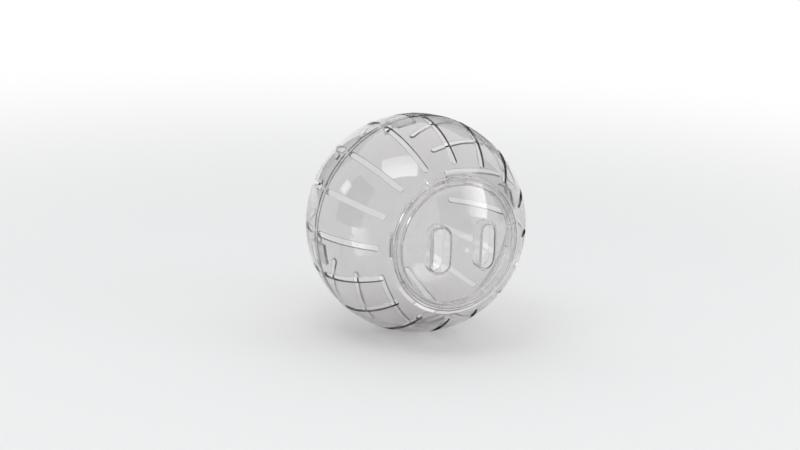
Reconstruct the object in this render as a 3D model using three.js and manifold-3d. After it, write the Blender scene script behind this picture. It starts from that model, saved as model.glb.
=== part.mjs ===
// Hamster ball: two clear half shells with slotted vents, and a round door that turns to lock.
// Millimetres. The origin is the centre of the ball, the door faces -Y and +Z is up.
// Each piece is shaped round a local Z axis, the door axis, and one group turns it to face -Y.

import * as THREE from 'three';
import { mergeVertices } from 'three/addons/utils/BufferGeometryUtils.js';
import Module from 'manifold-3d';

const wasm = await Module();
wasm.setup();

// Ball
const BALL_RADIUS = 63.5;
const WALL = 1.5;
const SEAT_GAP = 0.3;
const TURN_GAP = 0.4;

// Door and the doorway that it closes
const DOOR_RADIUS = 38;
const DOOR_RIM_WIDTH = 1.4;
const LEDGE_WIDTH = 3;
const LEDGE_THICKNESS = 1.5;
const SKIRT_WALL = 1.2;

// Bayonet lugs of the door, their entry notches and their stops
const LUG_COUNT = 4;
const LUG_SPREAD = 17;
const LUG_REACH = 2.2;
const LUG_THICKNESS = 1.5;
const LOCK_TURN = 22.5;
const STOP_WIDTH = 1.4;

// Finger slots in the door, each with a deep collar
const SLOT_LENGTH = 25;
const SLOT_WIDTH = 9;
const SLOT_SPACING = 29;
const SLOT_WALL = 1.4;
const COLLAR_DEPTH = 9;

// Vents, which run like meridians from the doorway end to the rim of each half
const VENT_COUNT = 16;
const VENT_WIDTH = 3.4;
const VENT_START_ANGLE = 45;
const VENT_TO_RIM = 3.8;

// Lap joint and tongues where the halves meet
const LIP_LENGTH = 2.4;
const TONGUE_COUNT = 4;
const TONGUE_WIDTH = 12;
const TONGUE_REACH = 8;
const TONGUE_ROOT = 7;
const TONGUE_THICKNESS = 1.5;

// Two short raised marks on the shell beside the doorway
const MARK_ANGLES = [117, 167];
const MARK_LENGTH = 3.6;
const MARK_WIDTH = 0.9;
const MARK_HEIGHT = 0.4;
const MARK_TO_DOORWAY = 1.2;

// Fineness of the round forms
const ROUND_SIDES = 48;
const ARC_STEP = 7.5;
const VENT_STEP = 11;
const END_SIDES = 6;
const PILL_SIDES = 8;
const OVERCUT = 2;

const radians = THREE.MathUtils.degToRad;
const degrees = THREE.MathUtils.radToDeg;

// Sizes that follow from the driving ones
const innerRadius = BALL_RADIUS - WALL;
const doorwayRadius = DOOR_RADIUS + TURN_GAP;
const doorRimHeight = heightOnSphere(innerRadius, DOOR_RADIUS);
const ledgeTop = doorRimHeight - SEAT_GAP;
const ledgeBottom = ledgeTop - LEDGE_THICKNESS;
const ledgeInnerRadius = doorwayRadius - LEDGE_WIDTH;
const skirtRadius = ledgeInnerRadius - TURN_GAP;
const skirtInnerRadius = skirtRadius - SKIRT_WALL;
const lugTop = ledgeBottom - SEAT_GAP;
const lugBottom = lugTop - LUG_THICKNESS;
const lugRadius = skirtRadius + LUG_REACH;
const notchRadius = lugRadius + TURN_GAP;
const lipThickness = (WALL - SEAT_GAP) / 2;
const lipRadius = innerRadius + lipThickness;
const rebateRadius = lipRadius + SEAT_GAP;
const rebateDepth = LIP_LENGTH + SEAT_GAP;
const tongueRadius = heightOnSphere(innerRadius, TONGUE_REACH) - SEAT_GAP;
const ventEndAngle = 90 - degrees(Math.asin(VENT_TO_RIM / BALL_RADIUS));
const ventPitch = 360 / VENT_COUNT;

// Height above the centre of a sphere at a distance from its axis, or the other way round
function heightOnSphere(sphereRadius, distance) {
  return Math.sqrt(sphereRadius ** 2 - distance ** 2);
}

// Points of an arc in the profile plane, from one angle off the axis to another
function profileArc(radius, fromAngle, toAngle) {
  const steps = Math.max(2, Math.ceil(Math.abs(toAngle - fromAngle) / ARC_STEP));
  const points = [];
  for (let i = 0; i <= steps; i += 1) {
    const angle = radians(fromAngle + ((toAngle - fromAngle) * i) / steps);
    points.push(new THREE.Vector2(radius * Math.sin(angle), radius * Math.cos(angle)));
  }
  return points;
}

function profilePoints(pairs) {
  return pairs.map(([distance, height]) => new THREE.Vector2(distance, height));
}

// A closed mesh with its shared vertices merged becomes a solid
function solidOf(geometry) {
  geometry.deleteAttribute('normal');
  geometry.deleteAttribute('uv');
  const merged = mergeVertices(geometry, 1e-4);
  const kept = [];
  for (let i = 0; i < merged.index.count; i += 3) {
    const [a, b, c] = [0, 1, 2].map((k) => merged.index.getX(i + k));
    if (a !== b && b !== c && c !== a) {
      kept.push(a, b, c);
    }
  }
  const mesh = new wasm.Mesh({
    numProp: 3,
    vertProperties: new Float32Array(merged.attributes.position.array),
    triVerts: new Uint32Array(kept),
  });
  return new wasm.Manifold(mesh);
}

// A profile of distance and height, given anticlockwise, turned round the local Z axis
function turned(points) {
  const geometry = new THREE.LatheGeometry(points, ROUND_SIDES);
  geometry.rotateX(Math.PI / 2);
  return solidOf(geometry);
}

function turnedRing(points) {
  return turned([...points, points[0].clone()]);
}

// A flat outline raised between two heights, its arcs in a number of sides
function raised(shape, bottom, top, arcSides) {
  const geometry = new THREE.ExtrudeGeometry(shape, {
    depth: top - bottom,
    bevelEnabled: false,
    curveSegments: arcSides,
  });
  geometry.translate(0, 0, bottom);
  return solidOf(geometry);
}

// A block between two radii and two heights, centred on an angle round the axis
function sectorBlock([inner, outer], [bottom, top], centreAngle, spread) {
  const from = radians(centreAngle - spread / 2);
  const to = radians(centreAngle + spread / 2);
  const shape = new THREE.Shape();
  shape.absarc(0, 0, outer, from, to, false);
  shape.absarc(0, 0, inner, to, from, true);
  return raised(shape, bottom, top, Math.ceil((spread * ROUND_SIDES) / 360));
}

// An outline with straight sides along Y and round ends
function pillShape(centreX, length, width) {
  const radius = width / 2;
  const straight = length / 2 - radius;
  const shape = new THREE.Shape();
  shape.absarc(centreX, straight, radius, 0, Math.PI, false);
  shape.absarc(centreX, -straight, radius, Math.PI, 2 * Math.PI, false);
  return shape;
}

// The cutter for one vent: a bar along a meridian with flat sides and round ends
function ventCutter(angle) {
  const halfWidth = VENT_WIDTH / 2;
  const endSpan = degrees(halfWidth / BALL_RADIUS);
  const firstEnd = [];
  for (let i = 0; i < END_SIDES / 2; i += 1) {
    const turn = ((i + 0.5) / END_SIDES) * Math.PI;
    firstEnd.push([VENT_START_ANGLE + endSpan * (1 - Math.cos(turn)), halfWidth * Math.sin(turn)]);
  }
  const lastEnd = firstEnd.map(([at, width]) => [VENT_START_ANGLE + ventEndAngle - at, width]);
  const straight = ventEndAngle - VENT_START_ANGLE - 2 * endSpan;
  const steps = Math.ceil(straight / VENT_STEP);
  const sides = [];
  for (let i = 0; i <= steps; i += 1) {
    sides.push([VENT_START_ANGLE + endSpan + (i / steps) * straight, halfWidth]);
  }
  const stations = [...firstEnd, ...sides, ...lastEnd.reverse()];
  return loftedBar(stations, innerRadius - OVERCUT, BALL_RADIUS + OVERCUT).rotate([0, 0, angle]);
}

// A closed bar between two radii, through cross-sections given by angle off the axis and width
function loftedBar(stations, inner, outer) {
  const positions = [];
  for (const [angle, width] of stations) {
    const corners = [[inner, -width], [inner, width], [outer, width], [outer, -width]];
    for (const [radius, side] of corners) {
      positions.push(radius * Math.sin(radians(angle)), side, radius * Math.cos(radians(angle)));
    }
  }
  const index = [0, 2, 1, 0, 3, 2];
  for (let i = 0; i < stations.length - 1; i += 1) {
    for (let k = 0; k < 4; k += 1) {
      const near = 4 * i + k;
      const nearNext = 4 * i + ((k + 1) % 4);
      index.push(near, nearNext, near + 4, nearNext, nearNext + 4, near + 4);
    }
  }
  const last = 4 * (stations.length - 1);
  index.push(last, last + 1, last + 2, last, last + 2, last + 3);
  const geometry = new THREE.BufferGeometry();
  geometry.setAttribute('position', new THREE.Float32BufferAttribute(positions, 3));
  geometry.setIndex(index);
  return solidOf(geometry);
}

function ventRing() {
  let ring = ventCutter(0);
  for (let i = 1; i < VENT_COUNT; i += 1) {
    ring = ring.add(ventCutter(i * ventPitch));
  }
  return ring;
}

// A raised mark that follows the shell, pointing at the axis
function doorwayMark(angle) {
  const inner = doorwayRadius + MARK_TO_DOORWAY;
  const geometry = new THREE.BoxGeometry(MARK_LENGTH, MARK_WIDTH, WALL);
  const tilt = Math.asin((inner + MARK_LENGTH / 2) / BALL_RADIUS);
  geometry.translate(0, 0, BALL_RADIUS + MARK_HEIGHT - WALL / 2);
  geometry.rotateY(tilt);
  geometry.rotateZ(radians(angle));
  return solidOf(geometry);
}

// Front half: a vented shell with a ledge for the door and a rebate at its rim
function frontHalf() {
  const doorwayAngle = degrees(Math.asin(doorwayRadius / BALL_RADIUS));
  const ledgeAngle = degrees(Math.acos(ledgeBottom / innerRadius));
  const rebateAngle = degrees(Math.acos(rebateDepth / innerRadius));
  const profile = [
    ...profileArc(BALL_RADIUS, 90, doorwayAngle),
    ...profilePoints([
      [doorwayRadius, ledgeTop],
      [ledgeInnerRadius, ledgeTop],
      [ledgeInnerRadius, ledgeBottom],
    ]),
    ...profileArc(innerRadius, ledgeAngle, rebateAngle),
    ...profilePoints([
      [rebateRadius, rebateDepth],
      [rebateRadius, 0],
    ]),
  ];
  let half = turnedRing(profile).subtract(ventRing());
  const stopSpread = degrees(STOP_WIDTH / lugRadius);
  const stopGap = degrees(SEAT_GAP / skirtRadius);
  for (let i = 0; i < LUG_COUNT; i += 1) {
    const lugAngle = (i * 360) / LUG_COUNT;
    const notchSpread = LUG_SPREAD + 2 * degrees(TURN_GAP / skirtRadius);
    const notchAngle = lugAngle + LOCK_TURN;
    const notchHeights = [ledgeBottom - OVERCUT, ledgeTop + SEAT_GAP];
    half = half.subtract(
      sectorBlock([skirtInnerRadius, notchRadius], notchHeights, notchAngle, notchSpread),
    );
    const stopAngle = lugAngle - LUG_SPREAD / 2 - stopGap - stopSpread / 2;
    const stopRadii = [ledgeInnerRadius + SEAT_GAP, lugRadius];
    const stopHeights = [lugBottom, ledgeTop - SEAT_GAP];
    half = half.add(sectorBlock(stopRadii, stopHeights, stopAngle, stopSpread));
  }
  for (const angle of MARK_ANGLES) {
    half = half.add(doorwayMark(angle));
  }
  return half;
}

// Rear half: a closed vented dome with a lip and four tongues that enter the front half
function rearHalf() {
  const lipAngle = degrees(Math.acos(LIP_LENGTH / lipRadius));
  const outer = profileArc(BALL_RADIUS, 90, 180);
  const inner = profileArc(innerRadius, 180, 90);
  const onAxis = (points, index) => {
    points[index].x = 0;
    return points;
  };
  const profile = [
    ...onAxis(inner, 0),
    ...profilePoints([
      [innerRadius, LIP_LENGTH],
      [lipRadius * Math.sin(radians(lipAngle)), LIP_LENGTH],
      [lipRadius, -SEAT_GAP],
      [BALL_RADIUS * Math.cos(Math.asin(SEAT_GAP / BALL_RADIUS)), -SEAT_GAP],
    ]),
    ...onAxis(outer, outer.length - 1).slice(1),
  ];
  let half = turned(profile.reverse());
  half = half.subtract(ventRing().mirror([0, 0, 1]));
  const spread = degrees(TONGUE_WIDTH / innerRadius);
  for (let i = 0; i < TONGUE_COUNT; i += 1) {
    const angle = ventPitch / 2 + (i * 360) / TONGUE_COUNT;
    const bladeInner = tongueRadius - TONGUE_THICKNESS;
    const bladeRadii = [bladeInner, tongueRadius];
    const rootRadii = [bladeInner, innerRadius + lipThickness / 2];
    half = half.add(sectorBlock(bladeRadii, [-TONGUE_ROOT, TONGUE_REACH], angle, spread));
    half = half.add(sectorBlock(rootRadii, [-TONGUE_ROOT, 0], angle, spread));
  }
  return half;
}

// Door: a dome flush with the ball, a skirt with four lugs and two collared finger slots
function door() {
  const rimInner = DOOR_RADIUS - DOOR_RIM_WIDTH;
  const outerAngle = degrees(Math.asin(DOOR_RADIUS / BALL_RADIUS));
  const rimAngle = degrees(Math.asin(rimInner / innerRadius));
  const skirtOuterAngle = degrees(Math.asin(skirtRadius / innerRadius));
  const skirtInnerAngle = degrees(Math.asin(skirtInnerRadius / innerRadius));
  const outer = profileArc(BALL_RADIUS, outerAngle, 0);
  const profile = [
    ...profileArc(innerRadius, 0, skirtInnerAngle),
    ...profilePoints([
      [skirtInnerRadius, lugBottom],
      [skirtRadius, lugBottom],
    ]),
    ...profileArc(innerRadius, skirtOuterAngle, rimAngle),
    ...profilePoints([
      [rimInner, doorRimHeight],
      [DOOR_RADIUS, doorRimHeight],
    ]),
    ...outer,
  ];
  let piece = turned(profile);
  const capProfile = [...profilePoints([[0, lugBottom], [DOOR_RADIUS, lugBottom]]), ...outer];
  const cap = turned(capProfile);
  for (let i = 0; i < LUG_COUNT; i += 1) {
    const lugRadii = [skirtRadius - SKIRT_WALL / 2, lugRadius];
    const lugAngle = (i * 360) / LUG_COUNT;
    piece = piece.add(sectorBlock(lugRadii, [lugBottom, lugTop], lugAngle, LUG_SPREAD));
  }
  const slotTop = heightOnSphere(BALL_RADIUS, SLOT_SPACING / 2);
  for (const side of [-1, 1]) {
    const centre = (side * SLOT_SPACING) / 2;
    const collar = pillShape(centre, SLOT_LENGTH + 2 * SLOT_WALL, SLOT_WIDTH + 2 * SLOT_WALL);
    const column = raised(collar, slotTop - COLLAR_DEPTH, BALL_RADIUS, PILL_SIDES);
    piece = piece.add(column.intersect(cap));
  }
  for (const side of [-1, 1]) {
    const slot = pillShape((side * SLOT_SPACING) / 2, SLOT_LENGTH, SLOT_WIDTH);
    const column = raised(slot, lugBottom - OVERCUT, BALL_RADIUS + OVERCUT, PILL_SIDES);
    piece = piece.subtract(column);
  }
  return piece;
}

// A solid back as three.js geometry, in a mesh with its name and finish
function pieceMesh(name, solid, colour) {
  const { vertProperties, triVerts } = solid.getMesh();
  const geometry = new THREE.BufferGeometry();
  geometry.setAttribute('position', new THREE.BufferAttribute(new Float32Array(vertProperties), 3));
  geometry.setIndex(new THREE.BufferAttribute(new Uint32Array(triVerts), 1));
  geometry.computeVertexNormals();
  const material = new THREE.MeshStandardMaterial({
    color: colour,
    roughness: 0.06,
    metalness: 0,
    transparent: true,
    opacity: 0.35,
  });
  const mesh = new THREE.Mesh(geometry, material);
  mesh.name = name;
  return mesh;
}

const ball = new THREE.Group();
ball.rotation.x = Math.PI / 2;
ball.add(pieceMesh('front_half_shell', frontHalf(), 0xd9dadb));
ball.add(pieceMesh('rear_half_shell', rearHalf(), 0xd9dadb));
ball.add(pieceMesh('door', door(), 0xdfe0e1));

export default ball;
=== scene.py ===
"""Hamster ball: clear moulded half shells with slotted vents, and a door that turns to lock"""

import math
from types import SimpleNamespace

import bmesh
import bpy
from mathutils import Matrix, Quaternion, Vector


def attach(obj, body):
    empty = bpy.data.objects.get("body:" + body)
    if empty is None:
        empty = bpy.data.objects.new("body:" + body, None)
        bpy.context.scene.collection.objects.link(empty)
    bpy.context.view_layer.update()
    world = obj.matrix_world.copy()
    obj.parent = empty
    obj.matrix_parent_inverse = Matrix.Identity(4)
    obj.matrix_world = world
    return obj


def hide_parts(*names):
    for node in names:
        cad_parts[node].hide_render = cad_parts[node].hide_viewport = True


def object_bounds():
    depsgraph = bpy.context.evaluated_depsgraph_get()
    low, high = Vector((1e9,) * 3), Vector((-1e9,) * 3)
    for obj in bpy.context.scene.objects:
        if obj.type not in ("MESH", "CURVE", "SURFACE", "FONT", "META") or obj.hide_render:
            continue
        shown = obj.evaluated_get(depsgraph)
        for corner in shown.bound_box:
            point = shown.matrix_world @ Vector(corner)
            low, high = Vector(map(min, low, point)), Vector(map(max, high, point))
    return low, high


bl_info = {
    "name": "Hamster ball",
    "version": (1, 0, 0),
    "blender": (4, 5, 0),
    "location": "3D Viewport > Sidebar > Ball",
    "description": "Builds a clear hamster ball from parametric moulded pieces",
    "category": "Object",
}

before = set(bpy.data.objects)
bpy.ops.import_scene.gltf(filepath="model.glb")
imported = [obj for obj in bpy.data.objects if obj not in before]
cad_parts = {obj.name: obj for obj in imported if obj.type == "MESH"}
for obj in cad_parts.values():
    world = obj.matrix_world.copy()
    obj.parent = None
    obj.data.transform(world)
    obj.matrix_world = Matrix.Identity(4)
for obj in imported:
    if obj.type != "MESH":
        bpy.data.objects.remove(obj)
CAD_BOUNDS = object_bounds()

MM = 0.001

# The photograph's frame and the ball in it, in pixels, and the camera, in degrees and mm
PHOTO_WIDTH = 800
PHOTO_HEIGHT = 450
BALL_PIXEL = (415.8, 222.5)
BALL_PIXEL_RADIUS = 110.0
CAMERA_AZIMUTH = -27.0
CAMERA_ELEVATION = 14.6
CAMERA_ROLL = 2.2
LENS = 85.0
SENSOR = 36.0

# What the camera can see, in metres
CLIP_START = 0.01
CLIP_END = 20.0

# Studio, in metres and degrees; a flag's angle is measured as the camera's azimuth is
FLOOR_RADIUS = 0.9
FLOOR_SOLID = 0.25
FLOOR_SEGMENTS = 96
WORLD_STRENGTH = 0.85
FLAG_DISTANCE = 1.6
FLAG_HEIGHT = 1.3
FLAG_SPREAD = 34.0
FLAG_ANGLES = (15.0, 85.0, 140.0, 195.0, 260.0)

# Colours of the studio, as sRGB hex values
FLAG_GREY = "#58585A"
AIR_WHITE = "#F4F5F6"
WHITE = "#FFFFFF"

# Softboxes: direction from the ball, distance, size, turn about its axis, glow, and the share of
# the glow at its dim side
SOFTBOXES = {
    "overhead_softbox": ((-0.36, -0.11, 0.93), 1.1, (0.45, 0.62), -49.0, 3.0, 0.5),
    "side_window": ((-0.79, 0.46, 0.41), 1.3, (0.25, 0.22), 0.0, 2.0, 1.0),
    "front_softbox": ((0.60, -0.66, 0.44), 1.2, (0.65, 0.57), -20.0, 3.4, 0.0),
}

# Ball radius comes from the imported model: half of its width, less what rounding may add, in mm
ROUNDING = 0.001
BALL_RADIUS = (CAD_BOUNDS[1].x - CAD_BOUNDS[0].x) / 2 / MM - ROUNDING

# Fineness of the round forms; the rings lie at these shares of the way out from an opening
COLUMNS_PER_VENT = 12
VENT_SIDE_STEPS = 24
VENT_RINGS = (0.0, 0.10, 0.30, 0.62, 1.0)
DOOR_RINGS = (0.0, 0.06, 0.13, 0.22, 0.35, 0.50, 0.66, 0.83, 1.0)
DOOR_MIDDLE_ROWS = 40
CAP_RINGS = 14
TONGUE_STEPS = 8
GATE_SEGMENTS = 32
EDGE_SEGMENTS = 3
SMOOTH_ANGLE = 35.0

# Distances in mm within which points are one: round a face, in one part, between repeated
# sectors, and between the parts of a piece
FACE_MERGE = 0.0001
PART_MERGE = 0.002
SECTOR_WELD = 0.004
PIECE_WELD = 0.01

# How near to its sphere a point must be to take the sphere's exact normal, in mm
ON_SPHERE = 0.003

# Raised marks: where they stand round the doorway in degrees, the share of their width by which
# each flank leans in, and the radius of their edges in mm
MARK_ANGLES = (117.0, 167.0)
MARK_LEAN = 0.8
MARK_EDGE = 0.05

# Gate mark, in mm: the radius of its edges, and how far its cutter stands out of the door
GATE_EDGE = 0.0625
GATE_CUTTER_TOP = 1.0

# A face is the gate mark's if it lies within this many times the mark's own width and depth, and
# below this share of its depth
GATE_ROOM = 1.2
GATE_TOP_SHARE = 1 / 3

# Clear polystyrene: how it bends light, how strongly it greys what is seen through a metre of it,
# and how far from its exact sphere a surface still takes the wall's tint, in mm
POLYSTYRENE_IOR = 1.59
GREY_PER_METRE = 60.0
SKIN_REACH = 0.1

# Its haze of handling: patches of this size in mm, the span of their noise and its roughness
HAZE_SIZE = 18.0
HAZE_DETAIL = 3.0
HAZE_NOISE = (0.35, 0.75)
HAZE_ROUGHNESS = (0.02, 0.07)

# Waviness of its moulding: the length and height of the swells in mm, and how strongly they show
SWELL_SIZE = 30.0
SWELL_DETAIL = 1.0
SWELL_STRENGTH = 0.5
SWELL_HEIGHT = 0.3

# Finish of the gate mark and of the paper floor
BROKEN_WHITE = "#F8F8F8"
BROKEN_ROUGHNESS = 0.6
BROKEN_CLARITY = 0.2
PAPER_ROUGHNESS = 0.9

# Places of the colour sockets on a Mix node, which share their names with its other sockets
MIX_FIRST = 6
MIX_SECOND = 7
MIX_RESULT = 2

# A size from the panel, kept in single precision, is read to this many decimals of a millimetre
SIZE_DECIMALS = 4

# Properties that every group has, besides its sizes
PLAIN_PROPERTIES = ("rna_type", "name")


def linear(hex_colour):
    """A colour written as sRGB hex, as linear red, green, blue and alpha"""
    parts = [int(hex_colour[i:i + 2], 16) / 255 for i in (1, 3, 5)]
    return [p / 12.92 if p <= 0.04045 else ((p + 0.055) / 1.055) ** 2.4 for p in parts] + [1.0]


class BallSizes(bpy.types.PropertyGroup):
    """Sizes of the ball, its wall and its gaps"""

    radius: bpy.props.FloatProperty(
        name="Radius", description="Outer radius of the ball",
        default=BALL_RADIUS * MM, unit="LENGTH")
    wall: bpy.props.FloatProperty(
        name="Wall", description="Wall of every moulding",
        default=1.5 * MM, min=1.0 * MM, max=2.5 * MM, unit="LENGTH")
    turn_gap: bpy.props.FloatProperty(
        name="Turning gap", description="Gap round the door where it turns",
        default=0.4 * MM, unit="LENGTH")
    seat_gap: bpy.props.FloatProperty(
        name="Seat gap", description="Gap between faces that rest on each other",
        default=0.3 * MM, unit="LENGTH")
    edge: bpy.props.FloatProperty(
        name="Edge radius", description="Radius of the moulded edges",
        default=0.2 * MM, unit="LENGTH")


class VentSizes(bpy.types.PropertyGroup):
    """Sizes of the vents"""

    count: bpy.props.IntProperty(
        name="Vents", description="Vents round each half", default=16, min=8, max=24)
    width: bpy.props.FloatProperty(
        name="Width", description="Width of a vent",
        default=3.4 * MM, unit="LENGTH")
    start: bpy.props.FloatProperty(
        name="Start", description="Angle off the door axis where a vent starts",
        default=math.radians(45.0), subtype="ANGLE")
    to_rim: bpy.props.FloatProperty(
        name="To the rim", description="Height from a vent's end to the rim",
        default=3.8 * MM, unit="LENGTH")


class DoorSizes(bpy.types.PropertyGroup):
    """Sizes of the door, its doorway and its finger slots"""

    radius: bpy.props.FloatProperty(
        name="Radius", description="Radius of the door",
        default=38.0 * MM, unit="LENGTH")
    rim: bpy.props.FloatProperty(
        name="Rim", description="Width of the rim that rests on the ledge",
        default=1.4 * MM, unit="LENGTH")
    ledge: bpy.props.FloatProperty(
        name="Ledge", description="Width of the ledge in the doorway",
        default=3.0 * MM, unit="LENGTH")
    ledge_wall: bpy.props.FloatProperty(
        name="Ledge wall", description="Thickness of the ledge",
        default=1.5 * MM, unit="LENGTH")
    skirt: bpy.props.FloatProperty(
        name="Skirt", description="Wall of the door's skirt",
        default=1.2 * MM, unit="LENGTH")
    lugs: bpy.props.IntProperty(
        name="Lugs", description="Bayonet lugs round the skirt", default=4, min=2, max=6)
    lug_spread: bpy.props.FloatProperty(
        name="Lug spread", description="Angle that a lug takes",
        default=math.radians(17.0), subtype="ANGLE")
    lug_reach: bpy.props.FloatProperty(
        name="Lug reach", description="How far a lug stands out of the skirt",
        default=2.2 * MM, unit="LENGTH")
    lug_wall: bpy.props.FloatProperty(
        name="Lug thickness", description="Thickness of a lug",
        default=1.5 * MM, unit="LENGTH")
    turn: bpy.props.FloatProperty(
        name="Lock turn", description="Angle from locked to unlocked",
        default=math.radians(22.5), subtype="ANGLE")
    stop: bpy.props.FloatProperty(
        name="Stop width", description="Width of the stop at the locked end",
        default=1.4 * MM, unit="LENGTH")
    slot_length: bpy.props.FloatProperty(
        name="Slot length", description="Length of a finger slot",
        default=25.0 * MM, unit="LENGTH")
    slot_width: bpy.props.FloatProperty(
        name="Slot width", description="Width of a finger slot",
        default=9.0 * MM, unit="LENGTH")
    slot_spacing: bpy.props.FloatProperty(
        name="Slot spacing", description="Distance between the finger slots",
        default=29.0 * MM, unit="LENGTH")
    slot_wall: bpy.props.FloatProperty(
        name="Collar wall", description="Wall of a finger slot's collar",
        default=1.4 * MM, unit="LENGTH")
    collar: bpy.props.FloatProperty(
        name="Collar depth", description="Depth of a finger slot's collar",
        default=9.0 * MM, unit="LENGTH")
    gate: bpy.props.FloatProperty(
        name="Gate mark", description="Width of the moulding gate's mark",
        default=2.6 * MM, unit="LENGTH")
    gate_depth: bpy.props.FloatProperty(
        name="Gate depth", description="Depth of the gate mark in the door's middle",
        default=0.25 * MM, unit="LENGTH")


class JointSizes(bpy.types.PropertyGroup):
    """Sizes of the lap joint, the tongues and the raised marks"""

    lip: bpy.props.FloatProperty(
        name="Lip", description="Length of the lip that enters the front half",
        default=2.4 * MM, unit="LENGTH")
    tongues: bpy.props.IntProperty(
        name="Tongues", description="Tongues round the rear half", default=4, min=2, max=8)
    tongue_width: bpy.props.FloatProperty(
        name="Tongue width", description="Width of a tongue",
        default=12.0 * MM, unit="LENGTH")
    tongue_reach: bpy.props.FloatProperty(
        name="Tongue reach", description="How far a tongue enters the front half",
        default=8.0 * MM, unit="LENGTH")
    tongue_root: bpy.props.FloatProperty(
        name="Tongue root", description="How far a tongue runs into its own half",
        default=7.0 * MM, unit="LENGTH")
    tongue_wall: bpy.props.FloatProperty(
        name="Tongue thickness", description="Thickness of a tongue",
        default=1.5 * MM, unit="LENGTH")
    mark_length: bpy.props.FloatProperty(
        name="Mark length", description="Length of a raised mark",
        default=3.6 * MM, unit="LENGTH")
    mark_width: bpy.props.FloatProperty(
        name="Mark width", description="Width of a raised mark",
        default=0.9 * MM, unit="LENGTH")
    mark_height: bpy.props.FloatProperty(
        name="Mark height", description="Height of a raised mark",
        default=0.4 * MM, unit="LENGTH")
    mark_gap: bpy.props.FloatProperty(
        name="Mark gap", description="Distance from a mark to the doorway",
        default=1.2 * MM, unit="LENGTH")


class BallColours(bpy.types.PropertyGroup):
    """Colours of the plastic and the floor, written as sRGB hex and kept linear"""

    shell: bpy.props.FloatVectorProperty(
        name="Shell", description="Tint of the clear half shells",
        default=linear("#F0EFEF"), size=4, min=0.0, max=1.0, subtype="COLOR")
    door: bpy.props.FloatVectorProperty(
        name="Door", description="Tint of the clear door",
        default=linear("#F2F1F1"), size=4, min=0.0, max=1.0, subtype="COLOR")
    depth: bpy.props.FloatVectorProperty(
        name="Depth", description="Colour that the plastic takes where it is thick",
        default=linear("#B9B5B6"), size=4, min=0.0, max=1.0, subtype="COLOR")
    floor: bpy.props.FloatVectorProperty(
        name="Floor", description="Colour of the studio floor",
        default=linear("#F2F2F2"), size=4, min=0.0, max=1.0, subtype="COLOR")


def in_mm(group):
    """The values of one of the panel's groups of sizes, its lengths in mm"""
    values = {}
    for name, kind in group.bl_rna.properties.items():
        if name not in PLAIN_PROPERTIES:
            value = getattr(group, name)
            values[name] = round(value / MM, SIZE_DECIMALS) if kind.unit == "LENGTH" else value
    return SimpleNamespace(**values)


def height_on_sphere(radius, distance):
    """Height above the centre where a sphere is that far from its axis"""
    return math.sqrt(radius * radius - distance * distance)


def spot(distance, height, angle):
    """A point in metres: distance from the door axis, height toward the door, angle round it"""
    return Vector((distance * math.cos(angle), -height, distance * math.sin(angle))) * MM


class Plan:
    """The panel's sizes and those that follow from them, in millimetres and radians"""

    def __init__(self, scene):
        self.ball = ball = in_mm(scene.ball_sizes)
        self.vent = vent = in_mm(scene.vent_sizes)
        self.door = door = in_mm(scene.door_sizes)
        self.joint = joint = in_mm(scene.joint_sizes)
        self.outer = ball.radius
        self.inner = self.outer - ball.wall
        self.doorway = door.radius + ball.turn_gap
        self.rim_height = height_on_sphere(self.inner, door.radius)
        self.ledge_top = self.rim_height - ball.seat_gap
        self.ledge_bottom = self.ledge_top - door.ledge_wall
        self.ledge_radius = self.doorway - door.ledge
        self.skirt = self.ledge_radius - ball.turn_gap
        self.skirt_inner = self.skirt - door.skirt
        self.lug_top = self.ledge_bottom - ball.seat_gap
        self.lug_bottom = self.lug_top - door.lug_wall
        self.lug_radius = self.skirt + door.lug_reach
        self.notch_radius = self.lug_radius + ball.turn_gap
        self.lip_wall = (ball.wall - ball.seat_gap) / 2
        self.lip_radius = self.inner + self.lip_wall
        self.rebate_radius = self.lip_radius + ball.seat_gap
        self.rebate_depth = joint.lip + ball.seat_gap
        self.tongue_radius = height_on_sphere(self.inner, joint.tongue_reach) - ball.seat_gap
        self.doorway_angle = math.asin(self.doorway / self.outer)
        self.ledge_angle = math.acos(self.ledge_bottom / self.inner)
        self.rebate_angle = math.acos(self.rebate_depth / self.inner)
        self.pitch = 2 * math.pi / vent.count
        self.columns = vent.count * COLUMNS_PER_VENT
        self.step = 2 * math.pi / self.columns


# Faces and profiles

def add_face(bm, points):
    """A face through points, leaving out those that coincide"""
    kept = []
    for point in points:
        if not kept or (point - kept[-1]).length > FACE_MERGE * MM:
            kept.append(point)
    if len(kept) > 1 and (kept[0] - kept[-1]).length <= FACE_MERGE * MM:
        kept.pop()
    if len(kept) > 2:
        bm.faces.new([bm.verts.new(p) for p in kept])


def add_strip(bm, line, next_line):
    """Faces between two lines that have as many points"""
    for i in range(len(line) - 1):
        add_face(bm, [line[i], line[i + 1], next_line[i + 1], next_line[i]])


def add_loft(bm, loops):
    """Faces through a row of closed loops that have as many points"""
    for loop, next_loop in zip(loops, loops[1:]):
        add_strip(bm, loop + loop[:1], next_loop + next_loop[:1])


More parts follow.
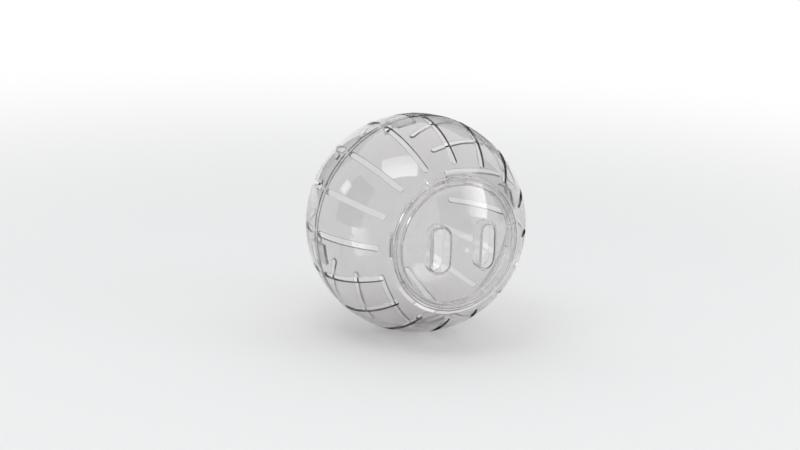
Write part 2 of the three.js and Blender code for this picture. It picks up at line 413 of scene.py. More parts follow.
def add_swept(bm, columns, kinds, profiles):
    """A profile swept round the door axis, where each span between two columns has its own kind.

    A profile is a list of (distance, height, snapped). Snapped points follow the exact column,
    the others its even one, so that they meet the neighbouring mesh. Where the kind changes, a
    side face closes the step.
    """
    def line(kind, column):
        even, exact = column
        return [spot(r, h, exact if snapped else even) for r, h, snapped in profiles[kind]]

    for i, kind in enumerate(kinds):
        add_strip(bm, line(kind, columns[i]), line(kind, columns[i + 1]))
    for i in range(1, len(kinds)):
        before, after = kinds[i - 1], kinds[i]
        if before == after:
            continue
        one, two = profiles[before], profiles[after]
        start = next(k for k in range(len(one)) if one[k] != two[k])
        end = next(k for k in range(1, len(one)) if one[-k] != two[-k])
        first = line(before, columns[i])[start - 1:len(one) - end + 2]
        second = line(after, columns[i])[start - 1:len(two) - end + 2]
        add_face(bm, first + second[::-1][1:-1])


def snapped_columns(low, high, step, exact_angles):
    """Columns between two angles as (even, exact), the nearest one moved to each exact angle"""
    count = round((high - low) / step)
    columns = [[low + i * step] * 2 for i in range(count + 1)]
    for angle in exact_angles:
        nearest = round((angle - low) / step)
        columns[nearest] = [columns[nearest][0], angle]
    return columns


def kinds_between(columns, spans):
    """The kind of each span between columns: the named span that its middle lies in, or plain"""
    kinds = []
    for left, right in zip(columns, columns[1:]):
        middle = (left[1] + right[1]) / 2
        found = [name for name, low, high in spans if low < middle < high]
        kinds.append(found[0] if found else "plain")
    return kinds


# Steps from faces to a finished moulding

def mesh_object(name, bm):
    """A mesh object in the scene from a bmesh, its doubles merged"""
    bmesh.ops.remove_doubles(bm, verts=bm.verts, dist=PART_MERGE * MM)
    mesh = bpy.data.meshes.new(name)
    bm.to_mesh(mesh)
    bm.free()
    made = bpy.data.objects.new(name, mesh)
    bpy.context.scene.collection.objects.link(made)
    return made


def drop(thing):
    """Removes an object and its mesh"""
    mesh = thing.data
    bpy.data.objects.remove(thing)
    bpy.data.meshes.remove(mesh)


def applied(thing):
    """The object with its modifiers turned into a plain mesh"""
    evaluated = thing.evaluated_get(bpy.context.evaluated_depsgraph_get())
    mesh = bpy.data.meshes.new_from_object(evaluated)
    old = thing.data
    thing.modifiers.clear()
    thing.data = mesh
    bpy.data.meshes.remove(old)
    return thing


def joined(name, parts):
    """One closed mesh from parts whose borders meet, facing out"""
    bm = bmesh.new()
    for part in parts:
        bm.from_mesh(part.data)
        drop(part)
    bmesh.ops.remove_doubles(bm, verts=bm.verts, dist=PIECE_WELD * MM)
    bmesh.ops.recalc_face_normals(bm, faces=bm.faces)
    loose = [edge for edge in bm.edges if len(edge.link_faces) != 2]
    if loose:
        raise RuntimeError(f"{name} has {len(loose)} edges that don't have two faces")
    return mesh_object(name, bm)


def rounded(thing, width):
    """The object with moulded edges: every sharp one gets a small radius, in mm"""
    bevel = thing.modifiers.new("moulded edge", "BEVEL")
    bevel.width = width * MM
    bevel.segments = EDGE_SEGMENTS
    bevel.limit_method = "ANGLE"
    bevel.angle_limit = math.radians(SMOOTH_ANGLE)
    bevel.use_clamp_overlap = True
    bevel.miter_outer = "MITER_ARC"
    return applied(thing)


def combined(thing, operation, parts):
    """A closed piece with closed parts moulded on (UNION) or cut out (DIFFERENCE)"""
    for part in parts:
        step = thing.modifiers.new("moulding", "BOOLEAN")
        step.operation = operation
        step.solver = "EXACT"
        step.object = part
    applied(thing)
    for part in parts:
        drop(part)
    return thing


def shaded(thing, plan):
    """Smooth shading with crisp steps, and exact normals where the surface is a sphere"""
    mesh = thing.data
    mesh.shade_smooth()
    mesh.set_sharp_from_angle(angle=math.radians(SMOOTH_ANGLE))
    weighted = thing.modifiers.new("even shading", "WEIGHTED_NORMAL")
    weighted.keep_sharp = True
    applied(thing)
    mesh = thing.data
    corners = [corner.vector.copy() for corner in mesh.corner_normals]
    near = math.cos(math.radians(SMOOTH_ANGLE))
    for polygon in mesh.polygons:
        for corner in polygon.loop_indices:
            place = mesh.vertices[mesh.loops[corner].vertex_index].co
            distance = place.length / MM
            if min(abs(distance - plan.outer), abs(distance - plan.inner)) > ON_SPHERE:
                continue
            ray = place.normalized()
            facing = polygon.normal.dot(ray)
            if abs(facing) > near:
                corners[corner] = ray if facing > 0 else -ray
    mesh.normals_split_custom_set([tuple(c) for c in corners])
    return thing


# Nodes, and the sectors that they repeat round the door axis

def add_node(tree, kind, settings=None, values=None, links=None):
    """A node with its settings, its sockets' values and its links"""
    node = tree.nodes.new(kind)
    for key, value in (settings or {}).items():
        setattr(node, key, value)
    for key, value in (values or {}).items():
        node.inputs[key].default_value = value
    for key, source in (links or {}).items():
        tree.links.new(source, node.inputs[key])
    return node


def sector_tree():
    """Geometry Nodes that turn copies of a sector round the door axis and join them"""
    tree = bpy.data.node_groups.get("sectors_round_door_axis")
    if tree:
        return tree
    tree = bpy.data.node_groups.new("sectors_round_door_axis", "GeometryNodeTree")
    for name, side, kind in (
            ("Sector", "INPUT", "Geometry"), ("Copies", "INPUT", "Int"),
            ("Weld distance", "INPUT", "Float"), ("Plastic", "INPUT", "Material"),
            ("Ring", "OUTPUT", "Geometry")):
        tree.interface.new_socket(name, in_out=side, socket_type="NodeSocket" + kind)
    start = add_node(tree, "NodeGroupInput")
    points = add_node(tree, "GeometryNodePoints", links={"Count": start.outputs["Copies"]})
    share = add_node(tree, "ShaderNodeMath", {"operation": "DIVIDE"}, values={0: 2 * math.pi},
                     links={1: start.outputs["Copies"]})
    index = add_node(tree, "GeometryNodeInputIndex")
    turn = add_node(tree, "ShaderNodeMath", {"operation": "MULTIPLY"},
                    links={0: index.outputs["Index"], 1: share.outputs[0]})
    turned = add_node(tree, "FunctionNodeAxisAngleToRotation",
                      values={"Axis": (0.0, -1.0, 0.0)}, links={"Angle": turn.outputs[0]})
    copies = add_node(tree, "GeometryNodeInstanceOnPoints", links={
        "Points": points.outputs[0], "Instance": start.outputs["Sector"],
        "Rotation": turned.outputs[0]})
    real = add_node(tree, "GeometryNodeRealizeInstances", links={"Geometry": copies.outputs[0]})
    weld = add_node(tree, "GeometryNodeMergeByDistance", links={
        "Geometry": real.outputs[0], "Distance": start.outputs["Weld distance"]})
    finish = add_node(tree, "GeometryNodeSetMaterial", links={
        "Geometry": weld.outputs[0], "Material": start.outputs["Plastic"]})
    add_node(tree, "NodeGroupOutput", links={"Ring": finish.outputs[0]})
    return tree


def repeated(thing, copies, plastic):
    """A sector repeated round the door axis as a plain mesh"""
    tree = sector_tree()
    inputs = {"Copies": copies, "Weld distance": SECTOR_WELD * MM, "Plastic": plastic}
    modifier = thing.modifiers.new("sectors", "NODES")
    modifier.node_group = tree
    for item in tree.interface.items_tree:
        if item.in_out == "INPUT" and item.name in inputs:
            modifier[item.identifier] = inputs[item.name]
    return applied(thing)


# Vents

def vent_outline(plan):
    """Points round a vent as (angle off the axis, distance sideways)"""
    half = plan.vent.width / 2
    end_span = half / plan.outer
    first = plan.vent.start + end_span
    last = math.pi / 2 - math.asin(plan.vent.to_rim / plan.outer) - end_span
    points = []
    for start, end, reach in ((first, last, half), (last, first, -half)):
        for i in range(VENT_SIDE_STEPS):
            points.append((start + (end - start) * i / VENT_SIDE_STEPS, reach))
        for i in range(COLUMNS_PER_VENT):
            turn = math.pi * i / COLUMNS_PER_VENT
            points.append((end + reach * math.sin(turn) / plan.outer, reach * math.cos(turn)))
    return points


def sector_outline(plan, near, far):
    """Points round a sector as (angle off the axis, angle round it), matched to vent_outline"""
    half = plan.pitch / 2
    points = []
    for start, end, side in ((near, far, half), (far, near, -half)):
        for i in range(VENT_SIDE_STEPS):
            points.append((start + (end - start) * i / VENT_SIDE_STEPS, side))
        for i in range(COLUMNS_PER_VENT):
            points.append((end, side - 2 * side * i / COLUMNS_PER_VENT))
    return points


def on_sphere(radius, off_axis, round_axis):
    """A point on a sphere in metres from two angles"""
    return spot(radius * math.sin(off_axis), radius * math.cos(off_axis), round_axis)


def vent_skin(plan, radius, near, far):
    """Loops on one sphere from a vent's edge to the border of its sector"""
    matched = list(zip(vent_outline(plan), sector_outline(plan, near, far)))
    loops = []
    for share in VENT_RINGS:
        loop = []
        for (off_axis, sideways), (border_off, border_round) in matched:
            reach = math.sqrt(radius * radius - sideways * sideways)
            height = reach * math.cos(off_axis)
            angle_off = math.acos(height / radius)
            angle_round = math.atan2(sideways, reach * math.sin(off_axis))
            loop.append(on_sphere(
                radius,
                angle_off + (border_off - angle_off) * share,
                angle_round + (border_round - angle_round) * share))
        loops.append(loop)
    return loops


def vent_sector(plan, far_outside, far_inside, rear=False):
    """One vent and the shell round it, open at the sector's border, out to these far angles"""
    outside = vent_skin(plan, plan.outer, plan.doorway_angle, far_outside)
    inside = vent_skin(plan, plan.inner, plan.ledge_angle, far_inside)
    bm = bmesh.new()
    add_loft(bm, outside[::-1] + inside)
    if rear:
        bmesh.ops.scale(bm, vec=(1, -1, 1), verts=bm.verts)
    return mesh_object("vents", bm)


# Doorway, rims, raised marks and tongues

def doorway_sector(plan):
    """One lug's share of the doorway: its neck, the ledge with a notch, and a stop under it"""
    ball, door = plan.ball, plan.door
    half_turn = math.pi / door.lugs
    notch_half = door.lug_spread / 2 + ball.turn_gap / plan.skirt
    stop_half = door.stop / plan.lug_radius / 2
    stop_centre = -door.lug_spread / 2 - ball.seat_gap / plan.skirt - stop_half
    spans = [
        ("notch", door.turn - notch_half, door.turn + notch_half),
        ("stop", stop_centre - stop_half, stop_centre + stop_half),
    ]
    exact = [angle for span in spans for angle in span[1:]]
    columns = snapped_columns(-half_turn, half_turn, plan.step, exact)
    top, bottom = plan.ledge_top, plan.ledge_bottom
    stop_inner = plan.ledge_radius + ball.seat_gap
    edge = [
        (plan.doorway, height_on_sphere(plan.outer, plan.doorway), False),
        (plan.doorway, top, True),
        (plan.notch_radius, top, True),
    ]
    end = [
        (plan.notch_radius, bottom, True),
        (height_on_sphere(plan.inner, bottom), bottom, False),
    ]
    ledge = [(plan.ledge_radius, top, True), (plan.ledge_radius, bottom, True)]
    seam = [(stop_inner, bottom, True), (plan.lug_radius, bottom, True)]
    block = [(stop_inner, plan.lug_bottom, True), (plan.lug_radius, plan.lug_bottom, True)]
    profiles = {
        "plain": edge + ledge + seam + end,
        "notch": edge + end,
        "stop": edge + ledge + [seam[0]] + block + [seam[1]] + end,
    }
    bm = bmesh.new()
    add_swept(bm, columns, kinds_between(columns, spans), profiles)
    return mesh_object("doorway", bm)


def round_band(name, plan, profile):
    """A profile of (distance, height) swept all the way round the door axis"""
    bm = bmesh.new()
    columns = [[-plan.pitch / 2 + i * plan.step] * 2 for i in range(plan.columns + 1)]
    points = [(r, h, False) for r, h in profile]
    add_swept(bm, columns, ["plain"] * plan.columns, {"plain": points})
    return mesh_object(name, bm)


def dome_cap(name, plan, radius, edge_angle):
    """The middle of the rear dome on one sphere, closed at the pole, out to the sectors"""
    bm = bmesh.new()
    even = [-plan.pitch / 2 + i * plan.step for i in range(plan.columns)]
    loops = []
    for k in range(1, CAP_RINGS + 1):
        off_axis = edge_angle * k / CAP_RINGS
        loops.append([on_sphere(radius, off_axis, angle) for angle in even])
    add_loft(bm, loops)
    pole = on_sphere(radius, 0, 0)
    first = loops[0]
    for i, point in enumerate(first):
        add_face(bm, [pole, point, first[(i + 1) % len(first)]])
    bmesh.ops.scale(bm, vec=(1, -1, 1), verts=bm.verts)
    return mesh_object(name, bm)


def raised_mark(plan, angle):
    """A short raised rib on the shell, pointing at the door's axis, with sloping flanks"""
    joint = plan.joint
    middle = plan.doorway + joint.mark_gap + joint.mark_length / 2
    tilt = math.asin(middle / plan.outer)
    bm = bmesh.new()
    bmesh.ops.create_cube(bm, size=1.0)
    for vert in bm.verts:
        along, across, up = vert.co.x, vert.co.y, vert.co.z * 2
        x = along * joint.mark_length
        y = across * joint.mark_width * (1 - MARK_LEAN * up)
        z = plan.outer + joint.mark_height * up
        distance = x * math.cos(tilt) + z * math.sin(tilt)
        height = z * math.cos(tilt) - x * math.sin(tilt)
        vert.co = spot(math.hypot(distance, y), height, angle + math.atan2(y, distance))
    bmesh.ops.recalc_face_normals(bm, faces=bm.faces)
    return rounded(mesh_object("raised_mark", bm), MARK_EDGE)


def tongue(plan, angle):
    """A tongue of the rear half: a blade that enters the front half, on a root in its own half"""
    joint = plan.joint
    half = joint.tongue_width / plan.inner / 2
    inside = plan.tongue_radius - joint.tongue_wall
    root = plan.inner + plan.lip_wall / 2
    profile = [
        (inside, -joint.tongue_root), (inside, joint.tongue_reach),
        (plan.tongue_radius, joint.tongue_reach), (plan.tongue_radius, 0.0),
        (root, 0.0), (root, -joint.tongue_root),
    ]
    lines = []
    for i in range(TONGUE_STEPS + 1):
        at = angle - half + 2 * half * i / TONGUE_STEPS
        lines.append([spot(r, h, at) for r, h in profile])
    bm = bmesh.new()
    add_loft(bm, lines)
    add_face(bm, lines[0])
    add_face(bm, lines[-1])
    bmesh.ops.remove_doubles(bm, verts=bm.verts, dist=PART_MERGE * MM)
    bmesh.ops.recalc_face_normals(bm, faces=bm.faces)
    return rounded(mesh_object("tongue", bm), plan.ball.edge)


# Door

def slot_spot(door, target, reach):
    """The point of a finger slot's outline, grown to a reach, that lies toward a target point"""
    straight = (door.slot_length - door.slot_width) / 2
    x, z = door.slot_spacing / 2, max(-straight, min(straight, target[1]))
    away_x, away_z = target[0] - x, target[1] - z
    size = math.hypot(away_x, away_z)
    return x + away_x / size * reach, z + away_z / size * reach


def half_disc(plan, radius):
    """Points round the +X half of a disc as (x, z): up the arc, then down the middle line"""
    points = []
    for i in range(plan.columns // 2):
        angle = -math.pi / 2 + i * plan.step
        points.append((radius * math.cos(angle), radius * math.sin(angle)))
    for i in range(DOOR_MIDDLE_ROWS):
        points.append((0.0, radius * math.cos(math.pi * i / DOOR_MIDDLE_ROWS)))
    return points


def dome_spot(radius, point):
    """A point of a sphere over (x, z), in metres"""
    x, z = point
    return Vector((x, -math.sqrt(radius * radius - x * x - z * z), z)) * MM


def slot_outline(plan, reach):
    """Points round a finger slot, grown to a reach, as (x, z), matched to a half disc's"""
    return [slot_spot(plan.door, target, reach) for target in half_disc(plan, plan.door.radius)]


def slot_skin(plan, radius, disc_radius, reach):
    """Loops on one sphere from a finger slot's outline to the border of its half disc"""
    matched = list(zip(slot_outline(plan, reach), half_disc(plan, disc_radius)))
    return [[dome_spot(radius, (x + (border_x - x) * share, z + (border_z - z) * share))
             for (x, z), (border_x, border_z) in matched] for share in DOOR_RINGS]


def slot_half(plan):
    """Half of the door's dome, with one finger slot and its collar"""
    door = plan.door
    slot = door.slot_width / 2
    collar = slot + door.slot_wall
    top = slot_skin(plan, plan.outer, door.radius, slot)
    under = slot_skin(plan, plan.inner, plan.skirt_inner, collar)
    bottom = height_on_sphere(plan.outer, door.slot_spacing / 2) - door.collar

    def ring(reach):
        return [Vector((x, -bottom, z)) * MM for x, z in slot_outline(plan, reach)]

    bm = bmesh.new()
    add_loft(bm, top[::-1] + [ring(slot), ring(collar)] + under)
    return mesh_object("slot_half", bm)


def skirt_sector(plan):
    """One lug's share of the door's rim and skirt"""
    door = plan.door
    half_turn = math.pi / door.lugs
    lug_half = door.lug_spread / 2
    spans = [("lug", -lug_half, lug_half)]
    columns = snapped_columns(-half_turn, half_turn, plan.step, [-lug_half, lug_half])
    rim_inner = door.radius - door.rim
    start = [
        (door.radius, height_on_sphere(plan.outer, door.radius), False),
        (door.radius, plan.rim_height, True),
        (rim_inner, plan.rim_height, True),
        (rim_inner, height_on_sphere(plan.inner, rim_inner), True),
        (plan.skirt, height_on_sphere(plan.inner, plan.skirt), True),
        (plan.skirt, plan.lug_top, True),
    ]
    end = [
        (plan.skirt, plan.lug_bottom, True),
        (plan.skirt_inner, plan.lug_bottom, True),
        (plan.skirt_inner, height_on_sphere(plan.inner, plan.skirt_inner), False),
    ]
    lug = [(plan.lug_radius, plan.lug_top, True), (plan.lug_radius, plan.lug_bottom, True)]
    profiles = {"plain": start + end, "lug": start + lug + end}
    bm = bmesh.new()
    add_swept(bm, columns, kinds_between(columns, spans), profiles)
    return mesh_object("skirt", bm)


def gate_dimple(plan):
    """Cutter of the shallow dimple in the door's middle, where the plastic entered the mould"""
    low, high = plan.outer - plan.door.gate_depth, plan.outer + GATE_CUTTER_TOP
    radius = plan.door.gate / 2 * MM
    bm = bmesh.new()
    bmesh.ops.create_cone(
        bm, cap_ends=True, segments=GATE_SEGMENTS, radius1=radius, radius2=radius,
        depth=(high - low) * MM)
    bmesh.ops.rotate(bm, verts=bm.verts, matrix=Matrix.Rotation(math.pi / 2, 3, "X"))
    bmesh.ops.translate(bm, verts=bm.verts, vec=(0, -(low + high) / 2 * MM, 0))
    return rounded(mesh_object("gate_dimple", bm), GATE_EDGE)


# Finish of the plastic

def material_tree(name):
    """An empty node material and its output"""
    made = bpy.data.materials.new(name)
    made.use_nodes = True
    made.node_tree.nodes.clear()
    return made, add_node(made.node_tree, "ShaderNodeOutputMaterial")


def clear_polystyrene(name, plan, tint, depth):
    """Clear polystyrene, injection moulded in a polished mould.

    The eye gets a hard glassy gloss, a faint grey through the wall, darker thick edges, a slow
    waviness of the moulding in the reflections, and a light haze of handling.
    """
    made, output = material_tree(name)
    tree = made.node_tree
    place = add_node(tree, "ShaderNodeTexCoord")
    # Handling haze: soft patches, rougher in their middle
    haze = add_node(tree, "ShaderNodeTexNoise", values={
        "Scale": 1 / (HAZE_SIZE * MM), "Detail": HAZE_DETAIL},
        links={"Vector": place.outputs["Object"]})
    rough = add_node(tree, "ShaderNodeMapRange", values={
        "From Min": HAZE_NOISE[0], "From Max": HAZE_NOISE[1],
        "To Min": HAZE_ROUGHNESS[0], "To Max": HAZE_ROUGHNESS[1]},
        links={"Value": haze.outputs["Fac"]})
    # Moulding waviness: long swells, a few hundredths of a millimetre high at half strength
    swell = add_node(tree, "ShaderNodeTexNoise", values={
        "Scale": 1 / (SWELL_SIZE * MM), "Detail": SWELL_DETAIL},
        links={"Vector": place.outputs["Object"]})
    bump = add_node(tree, "ShaderNodeBump", values={
        "Strength": SWELL_STRENGTH, "Distance": SWELL_HEIGHT * MM},
        links={"Height": swell.outputs["Fac"]})
    # The wall's tint lies on its two skins, so that the steps inside it stay as clear as the wall
    reach = add_node(tree, "ShaderNodeVectorMath", {"operation": "LENGTH"},
                     links={0: place.outputs["Object"]})
    off_middle = add_node(tree, "ShaderNodeMath", {"operation": "SUBTRACT"},
                          values={1: (plan.outer + plan.inner) / 2 * MM},
                          links={0: reach.outputs["Value"]})
    depth_in_wall = add_node(tree, "ShaderNodeMath", {"operation": "ABSOLUTE"},
                             links={0: off_middle.outputs[0]})
    on_skin = add_node(tree, "ShaderNodeMath", {"operation": "COMPARE"},
                       values={1: (plan.outer - plan.inner) / 2 * MM, 2: SKIN_REACH * MM},
                       links={0: depth_in_wall.outputs[0]})
    colour = add_node(tree, "ShaderNodeMix", {"data_type": "RGBA"}, values={
        MIX_FIRST: linear(WHITE), MIX_SECOND: tint}, links={0: on_skin.outputs[0]})
    plastic = add_node(tree, "ShaderNodeBsdfPrincipled", values={
        "IOR": POLYSTYRENE_IOR, "Transmission Weight": 1.0},
        links={"Base Color": colour.outputs[MIX_RESULT], "Roughness": rough.outputs[0],
               "Normal": bump.outputs[0]})
    # Lamps shine through the thin wall, so the shadow is pale
    lamp_way = add_node(tree, "ShaderNodeBsdfTransparent", values={"Color": tint})
    rays = add_node(tree, "ShaderNodeLightPath")
    mix = add_node(tree, "ShaderNodeMixShader", links={
        0: rays.outputs["Is Shadow Ray"], 1: plastic.outputs[0], 2: lamp_way.outputs[0]})
    tree.links.new(mix.outputs[0], output.inputs["Surface"])
    # The faint grey of the plastic gathers along the edges, where the eye looks into the wall
    body = add_node(tree, "ShaderNodeVolumeAbsorption", values={
        "Color": depth, "Density": GREY_PER_METRE})
    tree.links.new(body.outputs[0], output.inputs["Volume"])
    return made


def broken_polystyrene():
    """Polystyrene broken off at the gate: the eye gets a small white frosted spot"""
    made, output = material_tree("broken_white_polystyrene")
    tree = made.node_tree
    rough = add_node(tree, "ShaderNodeBsdfPrincipled", values={
        "Base Color": linear(BROKEN_WHITE), "Roughness": BROKEN_ROUGHNESS,
        "IOR": POLYSTYRENE_IOR, "Transmission Weight": BROKEN_CLARITY})
    tree.links.new(rough.outputs[0], output.inputs["Surface"])
    return made


def whiten_gate(thing, plan):
    """Gives the faces of the gate's dimple their own finish"""
    thing.data.materials.append(broken_polystyrene())
    door = plan.door
    reach = door.gate / 2 * GATE_ROOM * MM
    low = (plan.outer - door.gate_depth * GATE_ROOM) * MM
    high = (plan.outer - door.gate_depth * GATE_TOP_SHARE) * MM
    for face in thing.data.polygons:
        if math.hypot(face.center.x, face.center.z) < reach and low < face.center.length < high:
            face.material_index = 1


def finish_piece(thing, node, body, plastic):
    """Gives a piece its finish and its body, and hides the CAD part that it stands for"""
    thing.data.materials.clear()
    thing.data.materials.append(plastic)
    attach(thing, body)
    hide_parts(node)


# Operators of the three pieces

class BALL_OT_front_half(bpy.types.Operator):
    """Builds the front half shell, with its vents, doorway, ledge, stops, marks and rebate"""

    bl_idname = "ball.front_half"
    bl_label = "Front half shell"

    def execute(self, context):
        plan = Plan(context.scene)
        tints = context.scene.ball_colours
        plastic = clear_polystyrene(
            "moulded_clear_polystyrene_front", plan, tints.shell, tints.depth)
        depth = plan.rebate_depth
        shell = joined("front_half_shell_clear", [
            repeated(vent_sector(plan, math.pi / 2, plan.rebate_angle), plan.vent.count, plastic),
            repeated(doorway_sector(plan), plan.door.lugs, plastic),
            round_band("rebate", plan, [
                (plan.outer, 0.0), (plan.rebate_radius, 0.0), (plan.rebate_radius, depth),
                (height_on_sphere(plan.inner, depth), depth)]),
        ])
        rounded(shell, plan.ball.edge)
        marks = [raised_mark(plan, math.radians(angle)) for angle in MARK_ANGLES]
        combined(shell, "UNION", marks)
        shaded(shell, plan)
        finish_piece(shell, "front_half_shell", "front_half", plastic)
        return {"FINISHED"}


class BALL_OT_rear_half(bpy.types.Operator):
    """Builds the rear half shell, a closed vented dome with its lip and tongues"""

    bl_idname = "ball.rear_half"
    bl_label = "Rear half shell"

    def execute(self, context):
        plan = Plan(context.scene)
        tints = context.scene.ball_colours
        plastic = clear_polystyrene(
            "moulded_clear_polystyrene_rear", plan, tints.shell, tints.depth)
        gap, lip = plan.ball.seat_gap, plan.joint.lip
        sector = vent_sector(plan, math.acos(gap / plan.outer), math.pi / 2, rear=True)
        shell = joined("rear_half_shell_clear", [
            repeated(sector, plan.vent.count, plastic),
            dome_cap("cap_outside", plan, plan.outer, plan.doorway_angle),
            dome_cap("cap_inside", plan, plan.inner, plan.ledge_angle),
            round_band("lip", plan, [
                (height_on_sphere(plan.outer, gap), -gap), (plan.lip_radius, -gap),
                (height_on_sphere(plan.lip_radius, lip), lip), (plan.inner, lip),
                (plan.inner, 0.0)]),
        ])
        rounded(shell, plan.ball.edge)
        count = plan.joint.tongues
        tongues = [tongue(plan, plan.pitch / 2 + i * 2 * math.pi / count) for i in range(count)]
        combined(shell, "UNION", tongues)
        shaded(shell, plan)
        finish_piece(shell, "rear_half_shell", "rear_half", plastic)
        return {"FINISHED"}


class BALL_OT_door(bpy.types.Operator):
    """Builds the door, with its rim, skirt, bayonet lugs, finger slots and gate mark"""

    bl_idname = "ball.door"
    bl_label = "Door"

    def execute(self, context):
        plan = Plan(context.scene)
        tints = context.scene.ball_colours
        plastic = clear_polystyrene(
            "moulded_clear_polystyrene_door", plan, tints.door, tints.depth)
        piece = joined("door_clear", [
            repeated(slot_half(plan), 2, plastic),
            repeated(skirt_sector(plan), plan.door.lugs, plastic),
        ])
        rounded(piece, plan.ball.edge)
        combined(piece, "DIFFERENCE", [gate_dimple(plan)])
        shaded(piece, plan)
        finish_piece(piece, "door", "door", plastic)
        whiten_gate(piece, plan)
        return {"FINISHED"}


# Studio

def softbox(name, direction, distance, size, turn, glow, dim_side):
    """An area lamp that faces the ball; its glow is how bright its face looks at most"""
    lamp = bpy.data.lights.new(name, "AREA")
    lamp.shape = "RECTANGLE"
    lamp.size, lamp.size_y = size
    lamp.energy = glow * math.pi * size[0] * size[1]
    lamp.use_nodes = True
    tree = lamp.node_tree
    tree.nodes.clear()
    face = add_node(tree, "ShaderNodeNewGeometry")
    across = add_node(tree, "ShaderNodeSeparateXYZ", links={"Vector": face.outputs["Parametric"]})
    share = add_node(tree, "ShaderNodeMapRange", {"interpolation_type": "SMOOTHSTEP"}, values={
        "To Min": dim_side}, links={"Value": across.outputs["X"]})
    light = add_node(tree, "ShaderNodeEmission", links={"Strength": share.outputs[0]})
    add_node(tree, "ShaderNodeOutputLight", links={"Surface": light.outputs[0]})
    made = bpy.data.objects.new(name, lamp)
    toward = Vector(direction).normalized()
    made.location = toward * distance
    made.rotation_mode = "QUATERNION"
    made.rotation_quaternion = (-toward).to_track_quat("-Z", "Y") @ Quaternion(
        (0, 0, 1), math.radians(turn))
    bpy.context.scene.collection.objects.link(made)


def dark_flags():
    """Dark grey upright panels, which only the ball's gloss sees and which draw its edges"""
    bm = bmesh.new()
    for middle in FLAG_ANGLES:
        low, high = math.radians(middle - FLAG_SPREAD / 2), math.radians(middle + FLAG_SPREAD / 2)
        corners = ((low, 0), (high, 0), (high, FLAG_HEIGHT), (low, FLAG_HEIGHT))
        add_face(bm, [
            Vector((FLAG_DISTANCE * math.sin(angle), -FLAG_DISTANCE * math.cos(angle), height))
            for angle, height in corners])
    flags = mesh_object("dark_flags", bm)
    # Pressed felt gives the eye an even dark grey with no gloss of its own
    felt, output = material_tree("pressed_grey_felt")
    cloth = add_node(felt.node_tree, "ShaderNodeBsdfDiffuse", values={"Color": linear(FLAG_GREY)})
    felt.node_tree.links.new(cloth.outputs[0], output.inputs["Surface"])
    flags.data.materials.append(felt)
    flags.visible_camera = False
    flags.visible_diffuse = False
    flags.visible_transmission = False
    flags.visible_shadow = False


def floor_paint(colour):
    """Matt paper: pale round the ball, and as bright as the background further out"""
    paint, output = material_tree("matt_paper_floor")
    tree = paint.node_tree
    matt = add_node(tree, "ShaderNodeBsdfPrincipled", values={
        "Base Color": colour, "Roughness": PAPER_ROUGHNESS})
    place = add_node(tree, "ShaderNodeTexCoord")
    reach = add_node(tree, "ShaderNodeVectorMath", {"operation": "LENGTH"},
                     links={0: place.outputs["Object"]})
    fade = add_node(tree, "ShaderNodeMapRange", {"interpolation_type": "SMOOTHSTEP"}, values={
        "From Min": FLOOR_SOLID, "From Max": FLOOR_RADIUS},
        links={"Value": reach.outputs["Value"]})
    white = add_node(tree, "ShaderNodeEmission", values={"Color": linear(WHITE)})
    mix = add_node(tree, "ShaderNodeMixShader", links={
        0: fade.outputs[0], 1: matt.outputs[0], 2: white.outputs[0]})
    tree.links.new(mix.outputs[0], output.inputs["Surface"])
    return paint


def camera_axes():
    """The camera's right, up and back, at the photograph's angle"""
    azimuth, elevation, roll = (
        math.radians(a) for a in (CAMERA_AZIMUTH, CAMERA_ELEVATION, CAMERA_ROLL))
    back = Vector((
        math.sin(azimuth) * math.cos(elevation),
        -math.cos(azimuth) * math.cos(elevation),
        math.sin(elevation)))
    level = Vector((0, 0, 1)).cross(back).normalized()
    upright = back.cross(level)
    right = level * math.cos(roll) + upright * math.sin(roll)
    return right, back.cross(right), back


def studio_camera(scene, radius):
    """The camera, from which a ball of this radius is as large and where the photograph's is"""
    camera = bpy.data.objects.new("camera", bpy.data.cameras.new("camera"))
    scene.collection.objects.link(camera)
    lens = camera.data
    lens.sensor_width = SENSOR
    lens.lens = LENS
    lens.shift_x = (PHOTO_WIDTH / 2 - BALL_PIXEL[0]) / PHOTO_WIDTH
    lens.shift_y = (BALL_PIXEL[1] - PHOTO_HEIGHT / 2) / PHOTO_WIDTH
    lens.clip_start = CLIP_START
    lens.clip_end = CLIP_END
    right, up, back = camera_axes()
    pixels = PHOTO_WIDTH * LENS / SENSOR
    distance = radius * math.sqrt(1 + (pixels / BALL_PIXEL_RADIUS) ** 2)
    axes = Matrix((right, up, back)).transposed().to_4x4()
    camera.matrix_world = Matrix.Translation(back * distance) @ axes
    scene.camera = camera


def paper_floor(scene, radius):
    """The round floor that a ball of this radius lies on"""
    bm = bmesh.new()
    bmesh.ops.create_circle(bm, cap_ends=True, radius=FLOOR_RADIUS, segments=FLOOR_SEGMENTS)
    floor = mesh_object("floor", bm)
    floor.data.transform(Matrix.Translation((0, 0, -radius)))
    floor.data.materials.append(floor_paint(scene.ball_colours.floor))


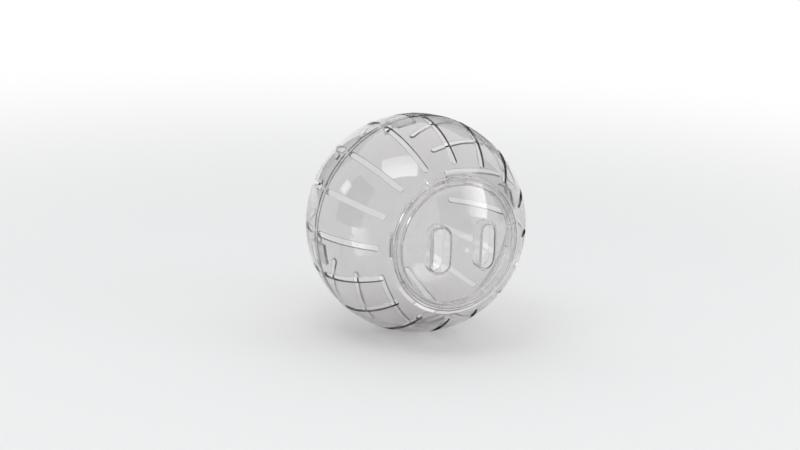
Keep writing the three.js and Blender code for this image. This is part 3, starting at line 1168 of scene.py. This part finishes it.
def studio_air(scene):
    """Even pale light from all round, which the eye, glass and gloss see as plain white"""
    world = bpy.data.worlds.new("studio_air")
    scene.world = world
    world.use_nodes = True
    tree = world.node_tree
    tree.nodes.clear()
    light = add_node(tree, "ShaderNodeBackground", values={
        "Color": linear(AIR_WHITE), "Strength": WORLD_STRENGTH})
    pale = add_node(tree, "ShaderNodeBackground", values={
        "Color": linear(WHITE), "Strength": 1.0})
    rays = add_node(tree, "ShaderNodeLightPath")
    seen = add_node(tree, "ShaderNodeMath", {"operation": "MAXIMUM"}, links={
        0: rays.outputs["Is Camera Ray"], 1: rays.outputs["Is Transmission Ray"]})
    shown = add_node(tree, "ShaderNodeMath", {"operation": "MAXIMUM"}, links={
        0: seen.outputs[0], 1: rays.outputs["Is Glossy Ray"]})
    mix = add_node(tree, "ShaderNodeMixShader", links={
        0: shown.outputs[0], 1: light.outputs[0], 2: pale.outputs[0]})
    add_node(tree, "ShaderNodeOutputWorld", links={"Surface": mix.outputs[0]})


class BALL_OT_studio(bpy.types.Operator):
    """Builds the plain pale floor, the soft lights and the camera at the photograph's angle"""

    bl_idname = "ball.studio"
    bl_label = "Studio"

    def execute(self, context):
        scene = context.scene
        radius = scene.ball_sizes.radius
        studio_camera(scene, radius)
        paper_floor(scene, radius)
        dark_flags()
        for name, settings in SOFTBOXES.items():
            softbox(name, *settings)
        studio_air(scene)
        scene.view_settings.view_transform = "Standard"
        return {"FINISHED"}


# Panel and registration

class BALL_PT_panel(bpy.types.Panel):
    """Sidebar panel of the ball's sizes, colours and steps"""

    bl_idname = "BALL_PT_panel"
    bl_label = "Hamster ball"
    bl_space_type = "VIEW_3D"
    bl_region_type = "UI"
    bl_category = "Ball"

    def draw(self, context):
        for group in GROUPS:
            sizes = getattr(context.scene, group)
            box = self.layout.box()
            for name in sizes.bl_rna.properties.keys():
                if name not in PLAIN_PROPERTIES:
                    box.prop(sizes, name)
        for operator in OPERATORS:
            self.layout.operator(operator.bl_idname)


GROUPS = {
    "ball_sizes": BallSizes,
    "vent_sizes": VentSizes,
    "door_sizes": DoorSizes,
    "joint_sizes": JointSizes,
    "ball_colours": BallColours,
}
OPERATORS = (BALL_OT_studio, BALL_OT_front_half, BALL_OT_rear_half, BALL_OT_door)
CLASSES = (*GROUPS.values(), *OPERATORS, BALL_PT_panel)


def register():
    """Registers the classes and gives the scene its groups of sizes and colours"""
    for cls in CLASSES:
        bpy.utils.register_class(cls)
    for name, group in GROUPS.items():
        setattr(bpy.types.Scene, name, bpy.props.PointerProperty(type=group))


def unregister():
    """Takes back what register does"""
    for name in GROUPS:
        delattr(bpy.types.Scene, name)
    for cls in reversed(CLASSES):
        bpy.utils.unregister_class(cls)


def main():
    register()
    bpy.ops.ball.studio()
    bpy.ops.ball.front_half()
    bpy.ops.ball.rear_half()
    bpy.ops.ball.door()


if __name__ == "__main__":
    main()
